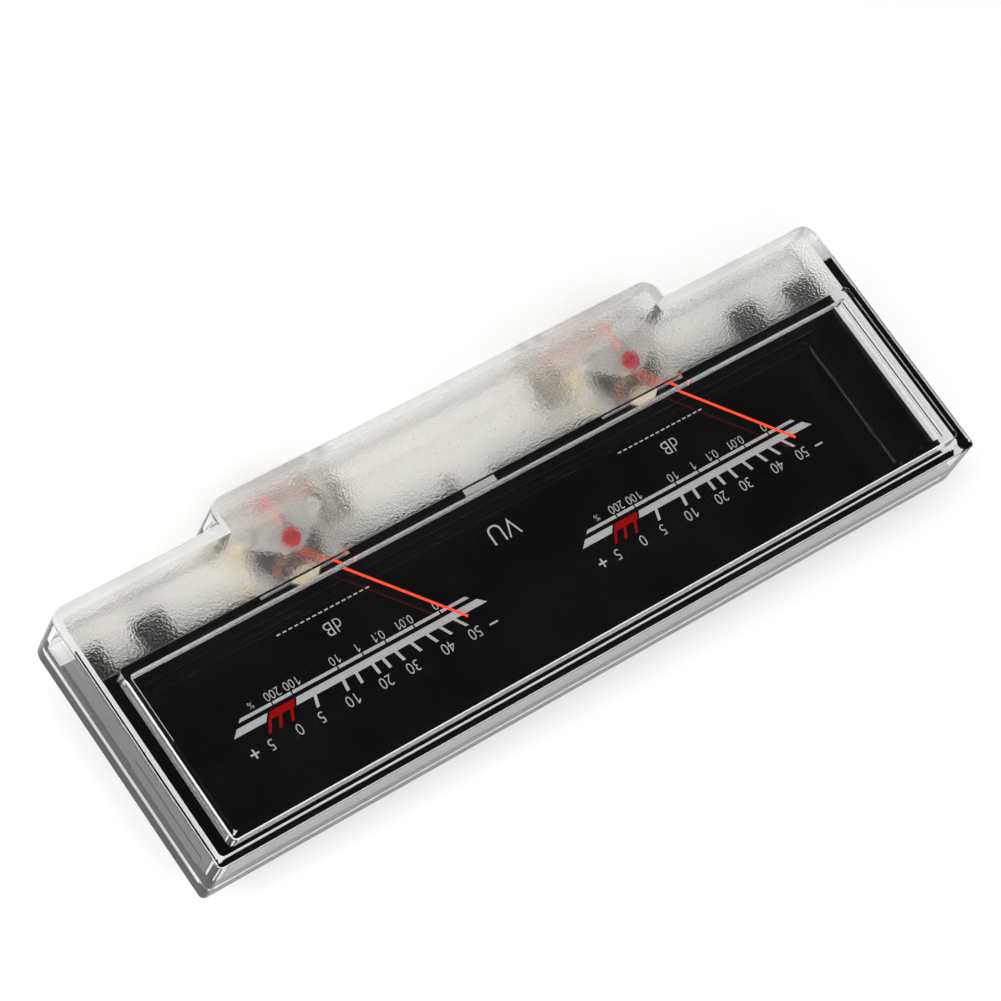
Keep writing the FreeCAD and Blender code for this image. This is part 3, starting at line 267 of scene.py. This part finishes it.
def make_materials():
    """The material of each kind of piece."""
    cream = moulded_plastic("cream_plastic", (0.66, 0.58, 0.42), (0.76, 0.69, 0.53))
    bridge_plate = moulded_plastic("bridge_plate", (0.41, 0.40, 0.395), (0.56, 0.545, 0.535), 0.5)
    insulation = moulded_plastic("red_insulation", (0.68, 0.27, 0.25), (0.77, 0.32, 0.30), 0.35)
    black_steel = moulded_plastic("blackened_steel", (0.012, 0.012, 0.013), (0.03, 0.03, 0.03), 0.35)
    red_lacquer = thin_coat("red_lacquer", (0.40, 0.010, 0.022), (0.56, 0.020, 0.036))
    steel = metal("zinc_steel", (0.50, 0.50, 0.50), (0.66, 0.65, 0.63), 0.32)
    dull_zinc = metal("dull_zinc", (0.62, 0.62, 0.62), (0.78, 0.77, 0.76), 0.5, 0.4)
    soft_iron = metal("soft_iron", (0.64, 0.64, 0.64), (0.80, 0.79, 0.77), 0.42, 0.6)
    magnet_alloy = metal("magnet_alloy", (0.20, 0.20, 0.21), (0.32, 0.31, 0.30), 0.45)
    bronze = metal("bronze_ribbon", (0.55, 0.34, 0.14), (0.68, 0.45, 0.20), 0.28)
    aluminium = metal("thin_aluminium", (0.70, 0.70, 0.71), (0.84, 0.84, 0.85), 0.3)
    brass = metal("stamped_brass", (0.62, 0.46, 0.18), (0.78, 0.60, 0.28), 0.3)
    tinned_brass = metal("tinned_brass", (0.60, 0.56, 0.44), (0.74, 0.71, 0.62), 0.35)
    return {
        "front_cover": clear_plastic("clear_cover", True),
        "rear_cover": clear_plastic("clear_tray", False),
        "dial_plate": black_paint(),
        "dial_screws": black_steel,
        "movement_frame": cream,
        "upper_bridge": bridge_plate,
        "yoke": soft_iron,
        "core_magnet": magnet_alloy,
        "bridge_screws": dull_zinc,
        "frame_screws": steel,
        "upper_jewel_screw": red_lacquer,
        "lead_wire": insulation,
        "lower_jewel_screw": brass,
        "jewels": jewel_stone(),
        "coil_former": aluminium,
        "coil_winding": copper_winding(),
        "upper_pivot": steel,
        "lower_pivot": steel,
        "balance_cross": aluminium,
        "counterweights": steel,
        "pointer": pointer_paint_and_glow(),
        "upper_hairspring": bronze,
        "lower_hairspring": bronze,
        "zero_lever": brass,
        "stop_pins": black_steel,
        "terminals": tinned_brass,
    }


def dress_nodes():
    materials = make_materials()
    for name, piece in nodes.items():
        key = name.removesuffix("_left").removesuffix("_right")
        piece.data.materials.clear()
        piece.data.materials.append(materials[key])


# ---------------------------------------------------------------- dial print

INK_THICKNESS = 0.02 * MM
PRINT_SHIFT = 0.45 * MM     # the scales sit a little to the right of the pointer axes

# All that follows is in millimetres, from the middle of a scale.
SLANT_CENTRE_Y = -17.5      # where the slanted ticks would meet
BAR_LOW, BAR_HIGH = 5.38, 6.40
TICK_TOP, TICK_WIDTH = 8.03, 0.50
GREY_TICKS = (8.67, 3.61, 1.26, -1.71, -3.56, -5.90, -8.77, -11.61, -14.06, -16.76)
RED_TICKS = (12.85, 14.83, 16.63)

# The three bars of the upper scale: the ends of the lower edge, and how far each end leans
# towards +x per millimetre of height.
END_SLANT = 1.1
LONG_BAR, LONG_BAR_SLANTS = (-20.30, 10.55), (-END_SLANT, 0.6)
RED_BAR, RED_BAR_SLANTS = (10.88, 14.93), (0.6, 0.85)
SHORT_BAR, SHORT_BAR_SLANTS = (15.32, 20.35), (0.85, END_SLANT)

THIN_LOW, THIN_HIGH = 4.31, 4.77
THIN_START, THIN_END = -18.95, 19.13
THIN_GAPS = (13.97, 10.68, 2.97, -1.24, -5.11, -9.98, -14.48)
GAP_WIDTH = 0.24

NUMERAL_Y, NUMERAL_HEIGHT = 9.48, 1.62
NUMERALS = (
    ("50", -17.12), ("40", -12.44), ("30", -6.37), ("20", -1.78), ("10", 3.86),
    ("5", 9.08), ("0", 12.77), ("5", 17.40),
)
MINUS_X, PLUS_X = -20.35, 20.17
SIGN_HALF_LENGTH, SIGN_HALF_WIDTH = 0.70, 0.13

SMALL_Y, SMALL_HEIGHT = 3.43, 1.3
SMALL_NUMERALS = (
    ("0", -14.43), ("0.01", -9.13), ("0.1", -4.71), ("1", -1.15), ("10", 2.75), ("100", 10.01), ("200", 13.2),
)
PERCENT_X, PERCENT_HEIGHT = 16.74, 0.95
DECIBEL_X, DECIBEL_Y, DECIBEL_HEIGHT = 0.1, -0.67, 2.05
VU_Y, VU_HEIGHT = -1.35, 2.9

DASHES, DASH_STEP, DASH_LENGTH = 16, 1.0, 0.62
DASH_Y, DASH_HEIGHT = -3.42, 0.20

# What the letters are like, whatever their size.
TEXT_NARROWING = 0.92
STROKE_THINNING = 0.012     # of the letter size, taken off each side of a stroke
CURVE_STEPS = 6             # straight steps in each curve of a letter
WELD_DISTANCE = 1e-5        # between corners that count as one, in parts of the letter size

# The figure 1 of the font has no flag, so one is added to it. The corners of the flag are given
# from the top right corner of the stem, in parts of the height of the figure.
FLAG = ((-0.16, 0), (0, 0), (-0.02, -0.10), (-0.40, -0.36), (-0.40, -0.22))
FLAG_SUNK = 0.006           # how far it stays inside the stem, so that they share no corner
FLAG_HALF_THICKNESS = 0.48  # of the thickness of the stem


def prism(shape, corners, bottom, top):
    """Adds a plate with the given outline between the levels bottom and top to the bmesh shape."""
    upper = [shape.verts.new((x, y, top)) for x, y in corners]
    lower = [shape.verts.new((x, y, bottom)) for x, y in corners]
    shape.faces.new(upper)
    shape.faces.new(list(reversed(lower)))
    for index in range(len(corners)):
        following = (index + 1) % len(corners)
        shape.faces.new((upper[index], lower[index], lower[following], upper[following]))


def ink_plate(shape, corners):
    prism(shape, [(x * MM, y * MM) for x, y in corners], 0, INK_THICKNESS)


def bar(shape, x_ends, y_ends, slants=(0, 0)):
    """Bar with the given ends at its lower edge, each leaning towards +x by its slant per millimetre."""
    (x_low, x_high), (y_low, y_high) = x_ends, y_ends
    lean_low, lean_high = (slant * (y_high - y_low) for slant in slants)
    ink_plate(shape, ((x_low, y_low), (x_high, y_low), (x_high + lean_high, y_high), (x_low + lean_low, y_high)))


def tick(shape, x):
    """Slanted tick from the upper edge of the bar to the place x at the top of the ticks."""
    foot = x * (BAR_HIGH - SLANT_CENTRE_Y) / (TICK_TOP - SLANT_CENTRE_Y)
    half = TICK_WIDTH / 2
    ink_plate(shape, ((foot - half, BAR_HIGH), (foot + half, BAR_HIGH), (x + half, TICK_TOP), (x - half, TICK_TOP)))


def text_object(body):
    """A flat text of the size 1, centred."""
    curve = bpy.data.curves.new("text", "FONT")
    curve.body = body
    curve.align_x, curve.align_y = "CENTER", "CENTER"
    curve.offset = -STROKE_THINNING
    holder = bpy.data.objects.new("text", curve)
    bpy.context.scene.collection.objects.link(holder)
    bpy.context.view_layer.update()
    return holder


def figure_height():
    """Height of a figure in a text of the size 1."""
    holder = text_object("0")
    height = holder.dimensions.y
    bpy.data.objects.remove(holder)
    return height


FIGURE_HEIGHT = figure_height()


def text_mesh(body, height, x, y):
    """Mesh of a short text whose figures are height tall, with its middle at x and y."""
    factor = height * MM / FIGURE_HEIGHT
    holder = text_object(body)
    holder.data.resolution_u = CURVE_STEPS
    holder.data.extrude = INK_THICKNESS / 2 / factor
    bpy.context.view_layer.update()
    mesh = bpy.data.meshes.new_from_object(holder.evaluated_get(bpy.context.evaluated_depsgraph_get()))
    bpy.data.objects.remove(holder)
    if "1" in body:
        add_flag(mesh, body.index("1"), INK_THICKNESS / factor)
    xs, ys = zip(*(vert.co.xy for vert in mesh.vertices))
    middle = Vector(((min(xs) + max(xs)) / 2, (min(ys) + max(ys)) / 2, 0))
    scale = Matrix.Diagonal((factor * TEXT_NARROWING, factor, factor, 1))
    place = Matrix.Translation((x * MM, y * MM, INK_THICKNESS / 2))
    mesh.transform(place @ scale @ Matrix.Translation(-middle))
    return mesh


def figures_of(shape):
    """The corners of each figure in the bmesh shape, from left to right."""
    figures, left = [], set(shape.verts)
    while left:
        figure, edge = [], [left.pop()]
        while edge:
            vert = edge.pop()
            figure.append(vert.co.copy())
            near = {link.other_vert(vert) for link in vert.link_edges} & left
            left -= near
            edge.extend(near)
        figures.append(figure)
    return sorted(figures, key=lambda figure: min(co.x for co in figure))


def add_flag(mesh, index, thickness):
    """Adds the slanting flag to the figure 1, which is the figure number index of the text."""
    shape = bmesh.new()
    shape.from_mesh(mesh)
    bmesh.ops.remove_doubles(shape, verts=shape.verts, dist=WELD_DISTANCE)
    xs, ys, _ = zip(*figures_of(shape)[index])
    tall = max(ys) - min(ys)
    right, top = max(xs) - FLAG_SUNK * tall, max(ys) - FLAG_SUNK * tall
    level = FLAG_HALF_THICKNESS * thickness
    prism(shape, [(right + across * tall, top + along * tall) for across, along in FLAG], -level, level)
    shape.to_mesh(mesh)
    shape.free()


def finish_print(name, shape, texts, place, material):
    """Joins the texts to the shape and lays the print on the dial as one piece."""
    for mesh in texts:
        shape.from_mesh(mesh)
        bpy.data.meshes.remove(mesh)
    bmesh.ops.recalc_face_normals(shape, faces=shape.faces)
    data = bpy.data.meshes.new(name)
    shape.to_mesh(data)
    shape.free()
    data.materials.append(material)
    piece = bpy.data.objects.new(name, data)
    piece.location = place
    bpy.context.scene.collection.objects.link(piece)
    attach(piece, "case")


def add_thin_line(shape):
    """The thin line of the lower scale, from its plus end, with a gap at each of its marks."""
    half = GAP_WIDTH / 2
    starts = [gap + half for gap in THIN_GAPS] + [THIN_START]
    ends = [THIN_END] + [gap - half for gap in THIN_GAPS]
    for start, end in zip(starts, ends):
        slants = (-END_SLANT if start == THIN_START else 0, END_SLANT if end == THIN_END else 0)
        bar(shape, (start, end), (THIN_LOW, THIN_HIGH), slants)


def add_signs(shape):
    """The minus and the plus sign at the ends of the upper scale."""
    half, wide = SIGN_HALF_LENGTH, SIGN_HALF_WIDTH
    for x in (MINUS_X, PLUS_X):
        bar(shape, (x - half, x + half), (NUMERAL_Y - wide, NUMERAL_Y + wide))
    for y_ends in ((NUMERAL_Y + wide, NUMERAL_Y + half), (NUMERAL_Y - half, NUMERAL_Y - wide)):
        bar(shape, (PLUS_X - wide, PLUS_X + wide), y_ends)


def add_dashes(shape):
    """The row of dashes that stands for a line of words."""
    for index in range(DASHES):
        middle = (index - (DASHES - 1) / 2) * DASH_STEP
        bar(shape, (middle - DASH_LENGTH / 2, middle + DASH_LENGTH / 2), (DASH_Y, DASH_Y + DASH_HEIGHT))


def make_grey_print(side, place, ink):
    shape = bmesh.new()
    bar(shape, LONG_BAR, (BAR_LOW, BAR_HIGH), LONG_BAR_SLANTS)
    bar(shape, SHORT_BAR, (BAR_LOW, BAR_HIGH), SHORT_BAR_SLANTS)
    for x in GREY_TICKS:
        tick(shape, x)
    add_thin_line(shape)
    add_signs(shape)
    add_dashes(shape)
    texts = [text_mesh(body, NUMERAL_HEIGHT, x, NUMERAL_Y) for body, x in NUMERALS]
    texts += [text_mesh(body, SMALL_HEIGHT, x, SMALL_Y) for body, x in SMALL_NUMERALS]
    texts.append(text_mesh("%", PERCENT_HEIGHT, PERCENT_X, SMALL_Y))
    texts.append(text_mesh("dB", DECIBEL_HEIGHT, DECIBEL_X, DECIBEL_Y))
    finish_print(f"dial_print_{side}", shape, texts, place, ink)


def make_red_print(side, place, ink):
    shape = bmesh.new()
    bar(shape, RED_BAR, (BAR_LOW, BAR_HIGH), RED_BAR_SLANTS)
    for x in RED_TICKS:
        tick(shape, x)
    finish_print(f"dial_red_{side}", shape, [], place, ink)


def make_dial_print():
    grey = thin_coat("grey_ink", (0.40, 0.40, 0.405), (0.49, 0.49, 0.495))
    red = thin_coat("red_ink", (0.27, 0.0005, 0.001), (0.34, 0.001, 0.002), 0.08)
    for side in SIDES:
        place = Vector((AXIS[side].x + PRINT_SHIFT, 0, DIAL_TOP))
        make_grey_print(side, place, grey)
        make_red_print(side, place, red)
    middle = [text_mesh("VU", VU_HEIGHT, 0, VU_Y)]
    finish_print("dial_print_middle", bmesh.new(), middle, Vector((PRINT_SHIFT, 0, DIAL_TOP)), grey)


# ---------------------------------------------------------------- stage, light and camera

# The camera that meets the outline of the photographed case.
CAMERA_PLACE = Vector((0.27266, 0.12572, 0.48689))
CAMERA_FORWARD = Vector((-0.48064, -0.22942, -0.84638))
CAMERA_UP = Vector((-0.41177, -0.79310, 0.44882))
CAMERA_LENS, SENSOR_WIDTH = 148.36, 36
CAMERA_NEAR = 0.01

FLOOR_HALF = 3.0
FLOOR_LEVEL = -0.05 * MM
FLOOR_TONES = ((0.90, 0.90, 0.90), (0.915, 0.915, 0.915))
FLOOR_CLOUD = 50 * MM
FLOOR_GLOW = 0.15           # the floor is a lit white table

# name, direction from the object, distance, width, height, radiance
LAMPS = (
    ("key", (0.45, 0.62, 0.64), 0.9, 0.7, 0.5, 4.6),
    ("side", (0.85, -0.45, 0.45), 0.9, 0.6, 0.4, 3.6),
    ("far", (-0.75, 0.60, 0.40), 0.9, 0.6, 0.4, 1.2),
)

# Light of the studio between two heights of a direction, from 0 level to 1 straight up.
WALL_FADE = {"From Min": 0.50, "From Max": 0.74, "To Min": 1.3, "To Max": 0.015}


def make_camera():
    data = bpy.data.cameras.new("camera")
    data.sensor_width = SENSOR_WIDTH
    data.sensor_fit = "HORIZONTAL"
    data.lens = CAMERA_LENS
    data.clip_start = CAMERA_NEAR
    camera = bpy.data.objects.new("camera", data)
    back = -CAMERA_FORWARD.normalized()
    right = CAMERA_UP.cross(back).normalized()
    up = back.cross(right)
    turn = Matrix((right, up, back)).transposed()
    camera.matrix_world = Matrix.Translation(CAMERA_PLACE) @ turn.to_4x4()
    bpy.context.scene.collection.objects.link(camera)
    bpy.context.scene.camera = camera


def make_floor():
    shader = Shader("pale_floor", roughness=0.65, specular_ior_level=0.2)
    shader.set("base_color", shader.colours(shader.noise(FLOOR_CLOUD), *FLOOR_TONES))
    shader.set("emission_color", (1.0, 1.0, 1.0, 1))
    shader.set("emission_strength", FLOOR_GLOW)
    mesh = bpy.data.meshes.new("floor")
    corners = [(x * FLOOR_HALF, y * FLOOR_HALF, 0) for x, y in ((-1, -1), (1, -1), (1, 1), (-1, 1))]
    mesh.from_pydata(corners, [], [(0, 1, 2, 3)])
    mesh.materials.append(shader.material)
    floor = bpy.data.objects.new("floor", mesh)
    floor.location.z = FLOOR_LEVEL
    bpy.context.scene.collection.objects.link(floor)


def make_lamps():
    for name, direction, distance, width, height, radiance in LAMPS:
        data = bpy.data.lights.new(name, "AREA")
        data.shape = "RECTANGLE"
        data.size, data.size_y = width, height
        data.energy = radiance * math.pi * width * height
        lamp = bpy.data.objects.new(name, data)
        towards = Vector(direction).normalized()
        lamp.location = towards * distance
        lamp.rotation_euler = towards.to_track_quat("Z", "Y").to_euler()
        bpy.context.scene.collection.objects.link(lamp)


def make_world():
    """White studio walls with a dark ceiling, so that the glossy dial stays black."""
    world = bpy.data.worlds.new("studio")
    world.use_nodes = True
    tree = world.node_tree
    background = tree.nodes["Background"]
    background.inputs["Color"].default_value = (1, 1, 1, 1)
    split = tree.nodes.new("ShaderNodeSeparateXYZ")
    height = tree.nodes.new("ShaderNodeMapRange")
    height.interpolation_type = "SMOOTHSTEP"
    tree.links.new(tree.nodes.new("ShaderNodeTexCoord").outputs["Generated"], split.inputs[0])
    tree.links.new(split.outputs["Z"], height.inputs["Value"])
    for key, value in WALL_FADE.items():
        height.inputs[key].default_value = value
    tree.links.new(height.outputs[0], background.inputs["Strength"])
    bpy.context.scene.world = world
    bpy.context.scene.view_settings.view_transform = "Standard"


make_camera()
dress_nodes()
make_dial_print()
make_floor()
make_lamps()
make_world()
